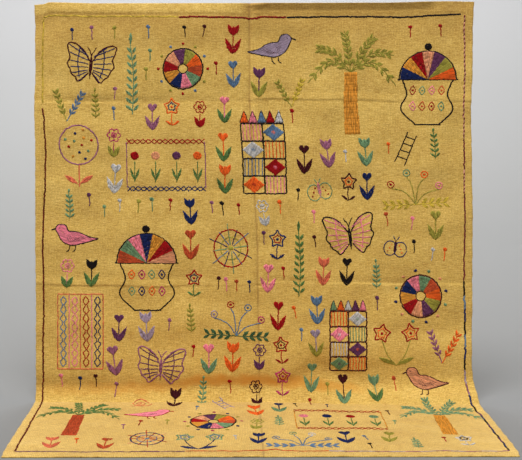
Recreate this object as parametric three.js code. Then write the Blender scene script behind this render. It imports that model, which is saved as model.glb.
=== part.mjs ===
// An embroidered kilim rug, hung by its top edge and brought forward over the floor.
// Millimetres. X runs across the rug, Y away from the viewer, Z up.
// The origin is at the middle of the underside of the whole draped shape.
//
// The rug is one cloth. Its back is worked out first: down the hanging plane, round the bend
// and out over the floor. Its face lies one thickness in front of that, and more at the hems.

import * as THREE from 'three';

// Driving sizes
const HANG_HEIGHT = 1818; // floor to top edge
const FLOOR_RUN = 706; // hanging plane to front edge, at the left
const FRONT_EDGE_SLANT = 10; // how much less far forward the right corner lies
const CLOTH_THICKNESS = 2.4;
const BEND_ZONE = 262; // the bend lies within this height and this distance forward

// The bend is close at the left side and open at the right.
const CLOSE_BEND = { forward: 52, up: 72 };
const OPEN_BEND = { forward: 190, up: 236 };
const BEND_OPENS = { from: 0.5, to: 1.0 }; // shares of the width

// Folded edges. They belong to the cloth and are only thicker.
const HEM = { side: 36, top: 46, front: 42, extra: 1.3, fade: 8 };
const PADDED_TOP = { from: 0.02, to: 0.465, fade: 0.03, height: 1.5 }; // left half of the top hem
const ROLLED_TOP = { from: 0.5, to: 0.93, fade: 0.05, out: 15.5, depth: 31 }; // right half nods forward
// Below the padded hem the cloth stands in front of its top edge, and draws back further down.
const LEANING_TOP = { out: 4.5, rise: 34, backFrom: 50, backAt: 300 };

// Where the two side edges lie, by distance down the cloth from its top edge
const SIDE_EDGES = [
  { down: 0, left: -1003, right: 1006 },
  { down: 110, left: -999, right: 1001 },
  { down: 300, left: -998, right: 999 },
  { down: 470, left: -1003, right: 992 },
  { down: 700, left: -998, right: 996 },
  { down: 1000, left: -998, right: 1000 },
  { down: 1400, left: -994, right: 999 },
  { down: 1640, left: -994, right: 993 },
  { down: 1800, left: -994, right: 1006 },
  { down: 1960, left: -990, right: 1023 },
  { down: 2370, left: -990, right: 1024 },
  { down: 2425, left: -988, right: 1018 },
  { down: 2500, left: -984, right: 1016 },
];

// How far the top edge lies above or below its level, by share of the width
const TOP_EDGE = [
  { share: 0.0, rise: -8 },
  { share: 0.02, rise: -5 },
  { share: 0.035, rise: 4 },
  { share: 0.15, rise: -1 },
  { share: 0.5, rise: 0 },
  { share: 0.8, rise: 1 },
  { share: 0.95, rise: 8 },
  { share: 1.0, rise: 6 },
];

// Storage creases across the cloth, from above. A ridge stands out and a trough goes in, and a
// crease turns from one to the other where it crosses the fold down the middle.
const LEVEL_CREASES = [
  { height: 1374, left: { height: 1368, out: -2.2 }, right: { height: 1380, out: 3.1 } },
  { height: 964, left: { height: 964, out: -0.7 }, right: { height: 964, out: -0.7 } },
  { height: 538, left: { height: 534, out: 3.3 }, right: { height: 543, out: -2.8 } },
];
const LEVEL_REACH = { above: 34, below: 11 };
const TURN_REACH = 30; // each side of the fold down the middle

// The fold down the middle, which wanders to the right on its way
const MIDDLE_CREASE = { out: -5, reach: 22 };
const MIDDLE_LINE = [
  { down: 0, x: -20 },
  { down: 420, x: -19 },
  { down: 760, x: 0 },
  { down: 1150, x: 18 },
  { down: 1700, x: 25 },
  { down: 2480, x: 27 },
];

// Slow unevenness of the hung part, in front of the hanging plane
const PANEL_SWELL = 6; // each panel between two creases stands this proud
const SLOW_WAVE = { height: 4, length: 1250 };

// The belly over the bend and the tuck under it: their heights and their strength across the rug
const LOW_FOLD = [
  { x: -1000, belly: 165, tuck: 58, strength: 0.42 },
  { x: -200, belly: 150, tuck: 55, strength: 0.42 },
  { x: 100, belly: 170, tuck: 60, strength: 0.38 },
  { x: 300, belly: 268, tuck: 140, strength: 0.75 },
  { x: 500, belly: 226, tuck: 75, strength: 1 },
  { x: 950, belly: 222, tuck: 85, strength: 1 },
  { x: 1030, belly: 222, tuck: 85, strength: 0.6 },
];
const BELLY = { out: 16, reach: 110 };
const TUCK = { out: -12, reach: 65 };

// The grid: shares of the width, heights on the hung part, shares of the bend and of the floor
const SIDE_STEPS = 9;
const HEM_COLUMNS = [0, 0.009, 0.018, 0.022];
const CREASE_OFFSETS = [-22, -10, 0, 10, 22];
const TOP_ROWS = [0, 6, 13, 20, 26, 32, 46, 54];
const PANEL_STEPS = 3;
const LOWEST_PANEL_STEPS = 7;
const CREASE_ROWS = [40, 20, 6, -6, -17]; // above a crease's height
const BEND_ROWS = [0.1, 0.19, 0.27, 0.33, 0.38, 0.42, 0.46, 0.5, 0.54, 0.58, 0.63, 0.7, 0.79, 0.89, 1];
const FLOOR_STEPS = 4;

const CLOTH_COLOUR = 0xc7a557;

function mix(a, b, t) {
  return a + (b - a) * t;
}

function ease(from, to, value) {
  const t = Math.min(1, Math.max(0, (value - from) / (to - from)));
  return t * t * (3 - 2 * t);
}

// Reads one column of a table at a place between its rows, with an eased step from row to row
function readTable(table, keyName, valueName, at) {
  let row = 0;
  while (row < table.length - 2 && at > table[row + 1][keyName]) row += 1;
  const a = table[row];
  const b = table[row + 1];
  return mix(a[valueName], b[valueName], ease(a[keyName], b[keyName], at));
}

// A soft hill, 1 at its middle and 0 from its reach outwards
function hill(distance, reach) {
  const t = Math.min(1, Math.abs(distance) / reach);
  return (1 - t * t) ** 2;
}

// One where the value lies between two limits, fading to 0 over the given length at each
function between(from, to, fade, value) {
  return ease(from, from + fade, value) * (1 - ease(to - fade, to, value));
}

function quarterEllipse(a, b) {
  return (Math.PI / 4) * (3 * (a + b) - Math.sqrt((3 * a + b) * (a + 3 * b)));
}

function bendAt(share) {
  const open = ease(BEND_OPENS.from, BEND_OPENS.to, share);
  return {
    forward: mix(CLOSE_BEND.forward, OPEN_BEND.forward, open),
    up: mix(CLOSE_BEND.up, OPEN_BEND.up, open),
  };
}

function floorRunAt(share) {
  return FLOOR_RUN - FRONT_EDGE_SLANT * share;
}

// Places on the back of the cloth in a slice across the drape: how far forward of the hanging
// plane, how far up, the direction that its face looks in, and the distance down the cloth.
function onWall(height, share) {
  const rise = readTable(TOP_EDGE, 'share', 'rise', share);
  const lifted = ease(HANG_HEIGHT - 330, HANG_HEIGHT, height) * rise;
  return { forward: 0, up: height + lifted, look: [1, 0], down: HANG_HEIGHT - height };
}

function onBend(part, share) {
  const bend = bendAt(share);
  const straight = BEND_ZONE - bend.up;
  const arc = quarterEllipse(bend.forward, bend.up);
  const level = BEND_ZONE - bend.forward;
  const travel = part * (straight + arc + level);
  const down = HANG_HEIGHT - BEND_ZONE + travel;
  if (travel <= straight) {
    return { forward: 0, up: BEND_ZONE - travel, look: [1, 0], down };
  }
  if (travel >= straight + arc) {
    return { forward: bend.forward + travel - straight - arc, up: 0, look: [0, 1], down };
  }
  const turn = ((travel - straight) / arc) * (Math.PI / 2);
  const look = new THREE.Vector2(Math.cos(turn) / bend.forward, Math.sin(turn) / bend.up).normalize();
  return {
    forward: bend.forward * (1 - Math.cos(turn)),
    up: bend.up * (1 - Math.sin(turn)),
    look: look.toArray(),
    down,
  };
}

function onFloor(beyondBend, share) {
  const start = onBend(1, share);
  return { forward: BEND_ZONE + beyondBend, up: 0, look: [0, 1], down: start.down + beyondBend };
}

// How far the hung cloth stands in front of its plane, back and face alike
function relief(share, x, height, down) {
  const hung = ease(60, 420, height);
  let out = 0;
  const middle = readTable(MIDDLE_LINE, 'down', 'x', down);
  const toRight = ease(-TURN_REACH, TURN_REACH, x - middle);
  for (const { left, right } of LEVEL_CREASES) {
    const above = height - mix(left.height, right.height, toRight);
    const reach = above > 0 ? LEVEL_REACH.above : LEVEL_REACH.below;
    out += mix(left.out, right.out, toRight) * hill(above, reach);
  }
  out += MIDDLE_CREASE.out * hill(x - middle, MIDDLE_CREASE.reach);
  out += PANEL_SWELL * panelSwell(x - middle, height);
  out += SLOW_WAVE.height * Math.sin((x / SLOW_WAVE.length) * 2 * Math.PI + height / 500);
  out *= hung;
  out += lowFold(x, height);
  const rolled = between(ROLLED_TOP.from, ROLLED_TOP.to, ROLLED_TOP.fade, share);
  out += ROLLED_TOP.out * rolled * Math.max(0, 1 - down / ROLLED_TOP.depth);
  const padded = between(PADDED_TOP.from, PADDED_TOP.to, PADDED_TOP.fade, share);
  const drawsBack = ease(LEANING_TOP.backFrom, LEANING_TOP.backAt, down);
  out += LEANING_TOP.out * padded * Math.min(1, down / LEANING_TOP.rise) * (1 - drawsBack);
  return out;
}

function lowFold(x, height) {
  const at = (name) => readTable(LOW_FOLD, 'x', name, x);
  const belly = BELLY.out * hill(height - at('belly'), BELLY.reach);
  const tuck = TUCK.out * hill(height - at('tuck'), TUCK.reach);
  return (belly + tuck) * at('strength') * ease(0, 80, height);
}

// Nought at the creases and the middle, one in the middle of each panel
function panelSwell(fromMiddle, height) {
  const levels = [HANG_HEIGHT, ...LEVEL_CREASES.map((crease) => crease.height), 0];
  let row = 0;
  while (row < levels.length - 2 && height < levels[row + 1]) row += 1;
  const t = (levels[row] - height) / (levels[row] - levels[row + 1]);
  const across = Math.min(1, Math.abs(fromMiddle) / 1000);
  return Math.sin(Math.PI * Math.min(1, Math.max(0, t))) * Math.sin(Math.PI * across);
}

// How much thicker than plain cloth the folded edges are
function hemThickness(share, fromSide, down, fromFront) {
  const side = 1 - ease(HEM.side, HEM.side + HEM.fade, fromSide);
  const top = 1 - ease(HEM.top, HEM.top + HEM.fade, down);
  const front = 1 - ease(HEM.front, HEM.front + HEM.fade, fromFront);
  const plain = HEM.extra * Math.max(side, top, front);
  const padded = between(PADDED_TOP.from, PADDED_TOP.to, PADDED_TOP.fade, share);
  const crown = Math.sin(Math.PI * Math.min(1, down / HEM.top)) ** 0.7;
  return plain + (down < HEM.top ? PADDED_TOP.height * padded * crown : 0);
}

// The shares of the width at which the columns stand, with the middle fold at exactly one half
function columnShares() {
  const width = SIDE_EDGES[0].right - SIDE_EDGES[0].left;
  const creaseShares = CREASE_OFFSETS.map((offset) => 0.5 + offset / width);
  const shares = [...HEM_COLUMNS];
  const first = HEM_COLUMNS[HEM_COLUMNS.length - 1];
  for (let i = 1; i < SIDE_STEPS; i += 1) shares.push(mix(first, creaseShares[0], i / SIDE_STEPS));
  return [...shares, ...creaseShares, ...shares.map((share) => 1 - share).reverse()];
}

// Heights of the rows on the hung part: the hem, then each panel and the crease below it
function wallHeights() {
  const heights = TOP_ROWS.map((depth) => HANG_HEIGHT - depth);
  let above = heights[heights.length - 1];
  for (const crease of LEVEL_CREASES) {
    const rows = CREASE_ROWS.map((rise) => crease.height + rise);
    for (let i = 1; i < PANEL_STEPS; i += 1) heights.push(mix(above, rows[0], i / PANEL_STEPS));
    heights.push(...rows);
    above = rows[rows.length - 1];
  }
  for (let i = 1; i <= LOWEST_PANEL_STEPS; i += 1) heights.push(mix(above, BEND_ZONE, i / LOWEST_PANEL_STEPS));
  return heights;
}

// Each row is a function from a share of the width to a place in the drape's slice.
function makeRows() {
  const rows = wallHeights().map((height) => (share) => onWall(height, share));
  for (const part of BEND_ROWS) rows.push((share) => onBend(part, share));
  const hemStart = HEM.front + HEM.fade;
  for (let i = 1; i <= FLOOR_STEPS; i += 1) {
    rows.push((share) => onFloor((floorRunAt(share) - BEND_ZONE - hemStart) * (i / FLOOR_STEPS), share));
  }
  for (const fromFront of [HEM.front, HEM.front / 2, 0]) {
    rows.push((share) => onFloor(floorRunAt(share) - BEND_ZONE - fromFront, share));
  }
  return rows;
}

// The back and face points of the cloth where one row meets one column
function clothPoint(row, column) {
  const place = row(column);
  const left = readTable(SIDE_EDGES, 'down', 'left', place.down);
  const right = readTable(SIDE_EDGES, 'down', 'right', place.down);
  const middle = readTable(MIDDLE_LINE, 'down', 'x', place.down);
  const x = column <= 0.5 ? mix(left, middle, column / 0.5) : mix(middle, right, (column - 0.5) / 0.5);
  const stands = relief(column, x, place.up, place.down);
  const [lookForward, lookUp] = place.look;
  const fromFront = lookForward > 0 ? Infinity : floorRunAt(column) - place.forward;
  const fromSide = Math.min(x - left, right - x);
  const thick = CLOTH_THICKNESS + hemThickness(column, fromSide, place.down, fromFront);
  const back = new THREE.Vector3(x, -place.forward - stands * lookForward, place.up + stands * lookUp);
  const face = back.clone().add(new THREE.Vector3(0, -lookForward * thick, lookUp * thick));
  return { back, face };
}

// A closed sheet: the face, the back, and a rim that joins them all round
function makeClothGeometry() {
  const columns = columnShares();
  const rows = makeRows();
  const positions = [];
  for (const row of rows) {
    for (const column of columns) {
      const { back, face } = clothPoint(row, column);
      positions.push(...face.toArray(), ...back.toArray());
    }
  }
  const wide = columns.length;
  const face = (r, c) => 2 * (r * wide + c);
  const back = (r, c) => face(r, c) + 1;
  const index = [];
  const quad = (a, b, c, d) => index.push(a, b, c, a, c, d);
  for (let r = 0; r < rows.length - 1; r += 1) {
    for (let c = 0; c < wide - 1; c += 1) {
      quad(face(r, c), face(r + 1, c), face(r + 1, c + 1), face(r, c + 1));
      quad(back(r, c + 1), back(r + 1, c + 1), back(r + 1, c), back(r, c));
    }
    quad(back(r, 0), back(r + 1, 0), face(r + 1, 0), face(r, 0));
    quad(face(r, wide - 1), face(r + 1, wide - 1), back(r + 1, wide - 1), back(r, wide - 1));
  }
  const last = rows.length - 1;
  for (let c = 0; c < wide - 1; c += 1) {
    quad(face(0, c), face(0, c + 1), back(0, c + 1), back(0, c));
    quad(face(last, c + 1), face(last, c), back(last, c), back(last, c + 1));
  }
  const geometry = new THREE.BufferGeometry();
  geometry.setAttribute('position', new THREE.Float32BufferAttribute(positions, 3));
  geometry.setIndex(index);
  return geometry;
}

function makeRugCloth() {
  const geometry = makeClothGeometry();
  geometry.computeBoundingBox();
  const centre = geometry.boundingBox.getCenter(new THREE.Vector3());
  geometry.translate(-centre.x, -centre.y, 0);
  geometry.computeVertexNormals();
  const wool = new THREE.MeshStandardMaterial({ color: CLOTH_COLOUR, roughness: 0.92, metalness: 0 });
  const cloth = new THREE.Mesh(geometry, wool);
  cloth.name = 'rug_cloth';
  return cloth;
}

const rug = new THREE.Group();
rug.add(makeRugCloth());

export default rug;
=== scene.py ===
"""An embroidered kilim rug, hung by its top edge and brought forward over the floor.

Metres, in the part's own frame. The cloth and every stitch are worked out in flat cloth
coordinates, x across from the middle and along down from the top edge, and are then laid on
one drape: down the hanging plane, round the bend and out over the floor.
"""

import math

import bpy
import numpy as np
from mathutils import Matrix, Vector


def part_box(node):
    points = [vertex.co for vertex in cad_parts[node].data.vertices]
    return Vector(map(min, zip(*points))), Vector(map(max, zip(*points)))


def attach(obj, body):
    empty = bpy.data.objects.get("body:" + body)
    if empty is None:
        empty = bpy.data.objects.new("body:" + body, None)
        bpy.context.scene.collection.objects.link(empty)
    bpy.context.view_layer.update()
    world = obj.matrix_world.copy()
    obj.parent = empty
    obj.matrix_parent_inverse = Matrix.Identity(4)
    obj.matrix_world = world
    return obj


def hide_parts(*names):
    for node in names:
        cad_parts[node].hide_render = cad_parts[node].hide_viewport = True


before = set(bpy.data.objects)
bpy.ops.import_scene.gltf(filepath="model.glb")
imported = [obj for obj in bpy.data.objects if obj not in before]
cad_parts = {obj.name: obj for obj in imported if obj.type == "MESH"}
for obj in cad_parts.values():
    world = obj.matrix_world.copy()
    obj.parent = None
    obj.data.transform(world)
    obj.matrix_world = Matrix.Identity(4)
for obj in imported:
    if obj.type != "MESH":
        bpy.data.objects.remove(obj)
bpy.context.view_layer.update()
NODE = "rug_cloth"
RUG_LOW, RUG_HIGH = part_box(NODE)

# The draped cloth, as the solid has it
CLOTH_WIDTH = 2.0
CLOTH_LENGTH = 2.5
HANG_HEIGHT = 1.818
FLOOR_RUN = 0.706
FRONT_EDGE_SLANT = 0.010
CLOTH_THICKNESS = 0.0024
CLOSE_BEND = {"forward": 0.052, "up": 0.072}
OPEN_BEND = {"forward": 0.190, "up": 0.236}
BEND_OPENS = (0.5, 1.0)
HEM = {"side": 0.036, "top": 0.046, "front": 0.042, "extra": 0.0013, "fade": 0.008}
PADDED_TOP = {"from": 0.02, "to": 0.465, "fade": 0.03, "height": 0.0015}
# Below the padded hem the cloth stands in front of its top edge, and draws back further down
LEANING_TOP = {"out": 0.0045, "rise": 0.034, "back_from": 0.05, "back_at": 0.30}
ROLLED_TOP = {"from": 0.5, "to": 0.93, "fade": 0.05, "out": 0.0155, "depth": 0.031}
HEM_GROOVE = {"down": 0.048, "out": -0.0006, "reach": 0.007}

# Where the side edges lie: distance down the cloth, left edge, right edge
SIDE_EDGES = np.array([
    (0.000, -1.003, 1.006),
    (0.110, -0.999, 1.001),
    (0.300, -0.998, 0.999),
    (0.470, -1.003, 0.992),
    (0.700, -0.998, 0.996),
    (1.000, -0.998, 1.000),
    (1.400, -0.994, 0.999),
    (1.640, -0.994, 0.993),
    (1.800, -0.994, 1.006),
    (1.960, -0.990, 1.023),
    (2.370, -0.990, 1.024),
    (2.425, -0.988, 1.018),
    (2.500, -0.984, 1.016),
])
# The top edge: share of the width, rise
TOP_EDGE = np.array([
    (0.000, -0.008),
    (0.020, -0.005),
    (0.035, 0.004),
    (0.150, -0.001),
    (0.500, 0.000),
    (0.800, 0.001),
    (0.950, 0.008),
    (1.000, 0.006),
])
# Creases across the cloth: height above the floor and how far they stand out, left and right of
# the fold down the middle, where they turn from a trough to a ridge or back
LEVEL_CREASES = (
    ((1.368, -0.0022), (1.380, 0.0031)),
    ((0.964, -0.0007), (0.964, -0.0007)),
    ((0.534, 0.0033), (0.543, -0.0028)),
)
LEVEL_REACH = {"above": 0.034, "below": 0.011}
MIDDLE_CREASE = {"out": -0.005, "reach": 0.022}
# The sharp line in the middle crease
CREASE_LINE = {"out": -0.0022, "reach": 0.0075}
# The fold down the middle: distance down the cloth, x
MIDDLE_LINE = np.array([
    (0.00, -0.020),
    (0.42, -0.019),
    (0.76, 0.000),
    (1.15, 0.018),
    (1.70, 0.025),
    (2.48, 0.027),
])
# The hung cloth's creases and swells fade out between these two heights
HUNG_FROM = (0.06, 0.42)
# Waves as rows of height, how fast they turn and where they start
CREASE_WANDER = ((0.005, 5.1, 0.7), (0.0025, 17.0, 0.0))
LINE_BREAKS = ((0.45, 13.0, 1.0),)
PANEL_SWELL = 0.006
UNEVEN = {"count": 18, "height": 0.0012, "lengths": (0.07, 0.30)}
FLOOR_RIPPLE = {"share": 0.5, "finer": 1.7, "below": 0.1}
EDGE_WAVER = 0.0007
TOP_EDGE_REACH = 0.33
# As far down as this, the cloth's left and right side are alike
ALIKE_LENGTH = 1.5
SLOW_WAVE = {"height": 0.004, "length": 1.25, "lean": 0.5}
# The belly over the bend and the tuck under it: x, belly height, tuck height, strength
LOW_FOLD = np.array([
    (-1.00, 0.165, 0.058, 0.42),
    (-0.20, 0.150, 0.055, 0.42),
    (0.10, 0.170, 0.060, 0.38),
    (0.30, 0.268, 0.140, 0.75),
    (0.50, 0.226, 0.075, 1.00),
    (0.95, 0.222, 0.085, 1.00),
    (1.03, 0.222, 0.085, 0.60),
])
BELLY = {"out": 0.016, "reach": 0.11}
TUCK = {"out": -0.012, "reach": 0.065}
# The kink where the cloth comes down on the floor, as a distance down the cloth
FLOOR_LINE = {"down": 1.822, "out": -0.0085, "reach": 0.036}

# Short puckers: x, along, turn in degrees, half length, half width, how far out
PUCKERS = (
    (-0.010, 0.455, 20, 0.030, 0.010, -0.0020),
    (0.010, 0.470, -35, 0.024, 0.010, 0.0016),
    (0.016, 1.290, 15, 0.032, 0.010, -0.0020),
    (0.040, 1.300, -30, 0.026, 0.010, 0.0016),
    (0.005, 1.760, 5, 0.030, 0.009, -0.0018),
    (0.020, 0.008, -4, 0.070, 0.010, 0.0060),
    (0.026, 0.026, -22, 0.060, 0.009, -0.0050),
    (-0.560, 1.500, 8, 0.160, 0.022, 0.0018),
    (0.480, 1.590, -6, 0.200, 0.024, -0.0020),
    (0.700, 1.700, -12, 0.180, 0.026, 0.0024),
    (-0.300, 1.700, 4, 0.220, 0.020, -0.0016),
)

# The photograph's view: 522 by 460 pixels, the camera level, with its frame shifted down
PHOTO_SIZE = (522, 460)
EYE_PIXEL = (238, 94)
FOCAL_PIXELS = 984.4
CAMERA_DISTANCE = 4.5
CAMERA_HEIGHT = 1.4027
CAMERA_SIDE = -0.0715
SENSOR = 36.0

# Threads
LINE_WIDTH = 0.0070
FINE_LINE = 0.0048
STEM_WIDTH = 0.0056
BORDER_WIDTH = 0.0092
LINE_STEP = 0.0100
LINE_HEIGHT = 0.0017
LINE_OVERLAP = 0.22 * LINE_STEP
LINE_SLANT = 0.10
LINE_WOBBLE = 0.0007
# How far a line of several colours goes before it changes
COLOUR_RUN = 0.06
SATIN_WIDTH = 0.0044
SATIN_HEIGHT = 0.0019
SATIN_PITCH = 0.0030
SATIN_LONGEST = 0.026
SATIN_LAP = 0.0015
SATIN_STAGGER = 0.3
SATIN_WOBBLE = {"along": 0.0011, "across": 0.0003}
SHORTEST_STITCH = 0.002
HEM_STITCH = {"step": 0.021, "length": 0.011, "width": 0.0019, "height": 0.0008}
SINK = -0.0001

# Thread colours, as they look in the photo
COLOURS = {
    "navy": (22, 36, 84),
    "dark_red": (118, 8, 14),
    "maroon": (66, 14, 20),
    "chestnut": (98, 28, 14),
    "wine": (108, 30, 46),
    "dusty_pink": (208, 150, 128),
    "crimson": (156, 10, 16),
    "orange": (226, 96, 30),
    "rust": (186, 76, 40),
    "salmon": (210, 106, 74),
    "pink": (228, 128, 142),
    "magenta": (176, 50, 96),
    "mauve": (150, 92, 116),
    "purple": (98, 52, 86),
    "lavender": (160, 140, 156),
    "steel": (92, 118, 146),
    "black": (24, 16, 16),
    "olive": (156, 146, 58),
    "teal": (112, 144, 104),
    "deep_green": (64, 96, 62),
    "leaf": (88, 118, 62),
    "silver": (192, 188, 184),
    "peach": (218, 150, 108),
    "yellow": (200, 172, 60),
    "amber": (214, 146, 52),
}

rng = np.random.default_rng(54)


def mix(a, b, t):
    return a + (b - a) * t


def ease(low, high, value):
    t = np.clip((value - low) / (high - low), 0, 1)
    return t * t * (3 - 2 * t)


def read_table(table, column, at):
    """One column of a table at places between its rows, with an eased step from row to row."""
    keys = table[:, 0]
    row = np.clip(np.searchsorted(keys, at) - 1, 0, len(keys) - 2)
    return mix(table[row, column], table[row + 1, column], ease(keys[row], keys[row + 1], at))


def hill(distance, reach):
    t = np.minimum(1, np.abs(distance) / reach)
    return (1 - t * t) ** 2


def within(shape, share):
    """1 between a shape's two shares of the width, and fading out towards them."""
    low, high, fade = shape["from"], shape["to"], shape["fade"]
    return ease(low, low + fade, share) * (1 - ease(high - fade, high, share))


def fold(shape, distance):
    """How far a ridge or a trough stands out at a distance from its middle."""
    return shape["out"] * hill(distance, shape["reach"])


def waves(at, rows):
    return sum(height * np.sin(at * speed + start) for height, speed, start in rows)


def linear(colour):
    """An 8-bit screen colour as linear light, with its alpha."""
    c = np.array(colour) / 255
    light = np.where(c <= 0.04045, c / 12.92, ((c + 0.055) / 1.055) ** 2.4)
    return (*light.tolist(), 1.0)


# The drape

def bend_at(share):
    opening = ease(*BEND_OPENS, share)
    forward = mix(CLOSE_BEND["forward"], OPEN_BEND["forward"], opening)
    up = mix(CLOSE_BEND["up"], OPEN_BEND["up"], opening)
    arc = math.pi / 4 * (3 * (forward + up) - np.sqrt((3 * forward + up) * (forward + 3 * up)))
    return forward, up, arc


def column_length(share):
    """How long the cloth is from its top edge to its front edge at a share of its width."""
    forward, up, arc = bend_at(share)
    return (HANG_HEIGHT - up) + arc + (FLOOR_RUN - FRONT_EDGE_SLANT * share - forward)


def down_the_cloth(share, along):
    """The real distance down, from the nominal one: the columns differ a little in length."""
    stretch = (column_length(share) - ALIKE_LENGTH) / (CLOTH_LENGTH - ALIKE_LENGTH)
    return np.where(along < ALIKE_LENGTH, along, ALIKE_LENGTH + (along - ALIKE_LENGTH) * stretch)


def drape(share, down):
    """How far forward of the hanging plane, how far up, and the way that the face looks."""
    forward, up, arc = bend_at(share)
    travel = down - (HANG_HEIGHT - up)
    turn = np.clip(travel / arc, 0, 1) * (math.pi / 2)
    beyond = np.maximum(travel - arc, 0)
    wall = np.minimum(travel, 0)
    look = np.stack([np.cos(turn) / forward, np.sin(turn) / up], axis=-1)
    look /= np.linalg.norm(look, axis=-1, keepdims=True)
    out = forward * (1 - np.cos(turn)) + beyond
    height = up * (1 - np.sin(turn)) - wall
    rise = read_table(TOP_EDGE, 1, share)
    height = height + ease(HANG_HEIGHT - TOP_EDGE_REACH, HANG_HEIGHT, height) * rise
    return out, height, look


def panel_swell(from_middle, height):
    levels = [HANG_HEIGHT, *((left[0] + right[0]) / 2 for left, right in LEVEL_CREASES), 0.0]
    swell = np.zeros_like(height)
    for top, low in zip(levels, levels[1:]):
        t = np.clip((top - height) / (top - low), 0, 1)
        swell += np.sin(math.pi * t)
    return swell * np.sin(math.pi * np.minimum(1, np.abs(from_middle)))


# Start, direction and length of each wave
UNEVEN_WAVES = [
    tuple(rng.uniform(low, high) for low, high in ((0, math.tau), (0, math.pi), UNEVEN["lengths"]))
    for _ in range(UNEVEN["count"])
]


def unevenness(x, along):
    """Small hollows and swells of hand-woven cloth, about a millimetre."""
    total = np.zeros_like(x)
    longest = UNEVEN["lengths"][1]
    for phase, turn, length in UNEVEN_WAVES:
        across = x * math.cos(turn) + along * math.sin(turn)
        total += UNEVEN["height"] * length / longest * np.sin(across * math.tau / length + phase)
    return total


def low_fold(x, height):
    """The belly over the bend and the tuck under it."""
    belly = fold(BELLY, height - read_table(LOW_FOLD, 1, x))
    tuck = fold(TUCK, height - read_table(LOW_FOLD, 2, x))
    return (belly + tuck) * read_table(LOW_FOLD, 3, x) * ease(0.0, 0.08, height)


def level_creases(x, middle, height):
    """The creases across the cloth, which wander and are stronger in some places."""
    out = np.zeros_like(x)
    to_right = ease(-0.03, 0.03, x - middle)
    for left, right in LEVEL_CREASES:
        level, proud = (mix(a, b, to_right) for a, b in zip(left, right))
        strength = 0.85 + waves(x, ((0.30, 5.3, right[0] * 9), (0.20, 14.0, right[0] * 23)))
        away = height - level - waves(x, CREASE_WANDER)
        reach = np.where(away > 0, LEVEL_REACH["above"], LEVEL_REACH["below"])
        out += proud * strength * hill(away, reach)
    return out


def puckers(x, along):
    out = np.zeros_like(x)
    for px, pa, turn, long, wide, proud in PUCKERS:
        c, s = math.cos(math.radians(turn)), math.sin(math.radians(turn))
        u = (x - px) * c + (along - pa) * s
        v = (along - pa) * c - (x - px) * s
        out += proud * hill(u, long) * hill(v, wide)
    return out


def top_hem(share, down):
    """The padded left half leans back and the right half nods forward."""
    padded = within(PADDED_TOP, share)
    out = padded * fold(HEM_GROOVE, down - HEM_GROOVE["down"])
    draws_back = ease(LEANING_TOP["back_from"], LEANING_TOP["back_at"], down)
    out += LEANING_TOP["out"] * padded * np.minimum(1, down / LEANING_TOP["rise"]) * (1 - draws_back)
    rolled = within(ROLLED_TOP, share)
    return out + ROLLED_TOP["out"] * rolled * np.maximum(0, 1 - down / ROLLED_TOP["depth"])


def relief(share, x, along, down, height):
    """How far the hung cloth stands in front of its plane."""
    hung = ease(*HUNG_FROM, height)
    middle = read_table(MIDDLE_LINE, 1, down)
    out = level_creases(x, middle, height) + fold(MIDDLE_CREASE, x - middle)
    out += (0.75 + waves(along, LINE_BREAKS)) * fold(CREASE_LINE, x - middle)
    out += PANEL_SWELL * panel_swell(x - middle, height)
    out += SLOW_WAVE["height"] * np.sin(x / SLOW_WAVE["length"] * math.tau + height / SLOW_WAVE["lean"])
    out = (out + puckers(x, along)) * hung + low_fold(x, height)
    out += FLOOR_LINE["out"] * np.maximum(0, 1 - np.abs(down - FLOOR_LINE["down"]) / FLOOR_LINE["reach"])
    return out + unevenness(x, along) * mix(0.35, 1, hung) + top_hem(share, down)


def hem_thickness(share, from_side, down, from_front):
    side = 1 - ease(HEM["side"], HEM["side"] + HEM["fade"], from_side)
    top = 1 - ease(HEM["top"], HEM["top"] + HEM["fade"], down)
    front = 1 - ease(HEM["front"], HEM["front"] + HEM["fade"], from_front)
    plain = HEM["extra"] * np.maximum(side, np.maximum(top, front))
    crown = np.sin(math.pi * np.clip(down / HEM["top"], 0, 1)) ** 0.7
    return plain + PADDED_TOP["height"] * within(PADDED_TOP, share) * crown * (down < HEM["top"])


def place(x_flat, along):
    """Back points, face points and the way that the face looks, for flat cloth coordinates."""
    share = 0.5 + x_flat / CLOTH_WIDTH
    down = down_the_cloth(share, along)
    left = read_table(SIDE_EDGES, 1, down)
    right = read_table(SIDE_EDGES, 2, down)
    middle = read_table(MIDDLE_LINE, 1, down)
    x = np.where(share <= 0.5, mix(left, middle, share * 2), mix(middle, right, share * 2 - 1))
    edge = np.abs(2 * share - 1) ** 12
    x = x + edge * EDGE_WAVER * (np.sin(down * 71 + 2 * share) + np.sin(down * 143))
    out, height, look = drape(share, down)
    stands = relief(share, x, along, down, height)
    from_front = np.maximum(column_length(share) - down, 0)
    thick = CLOTH_THICKNESS + hem_thickness(share, np.minimum(x - left, right - x), down, from_front)
    ripple = np.abs(unevenness(x * FLOOR_RIPPLE["finer"], along * FLOOR_RIPPLE["finer"]))
    thick = thick + FLOOR_RIPPLE["share"] * ripple * (1 - ease(0.0, FLOOR_RIPPLE["below"], height))
    forward = out + stands * look[..., 0]
    up = height + stands * look[..., 1]
    back = np.stack([x + SHIFT_X, HANG_PLANE_Y - forward, np.maximum(up, 0.0)], axis=-1)
    facing = np.stack([np.zeros_like(x), -look[..., 0], look[..., 1]], axis=-1)
    return back, back + facing * thick[..., None], facing


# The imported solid's box says where the hanging plane and the cloth's middle lie.
HANG_PLANE_Y = RUG_LOW[1] + FLOOR_RUN
SHIFT_X = RUG_HIGH[0] - SIDE_EDGES[:, 2].max()


def lay_on_face(points):
    """Rows of (x, along, lift) as places over the cloth's face."""
    _, face, facing = place(points[:, 0], points[:, 1])
    return face + facing * points[:, 2:3]


# Meshes

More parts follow.
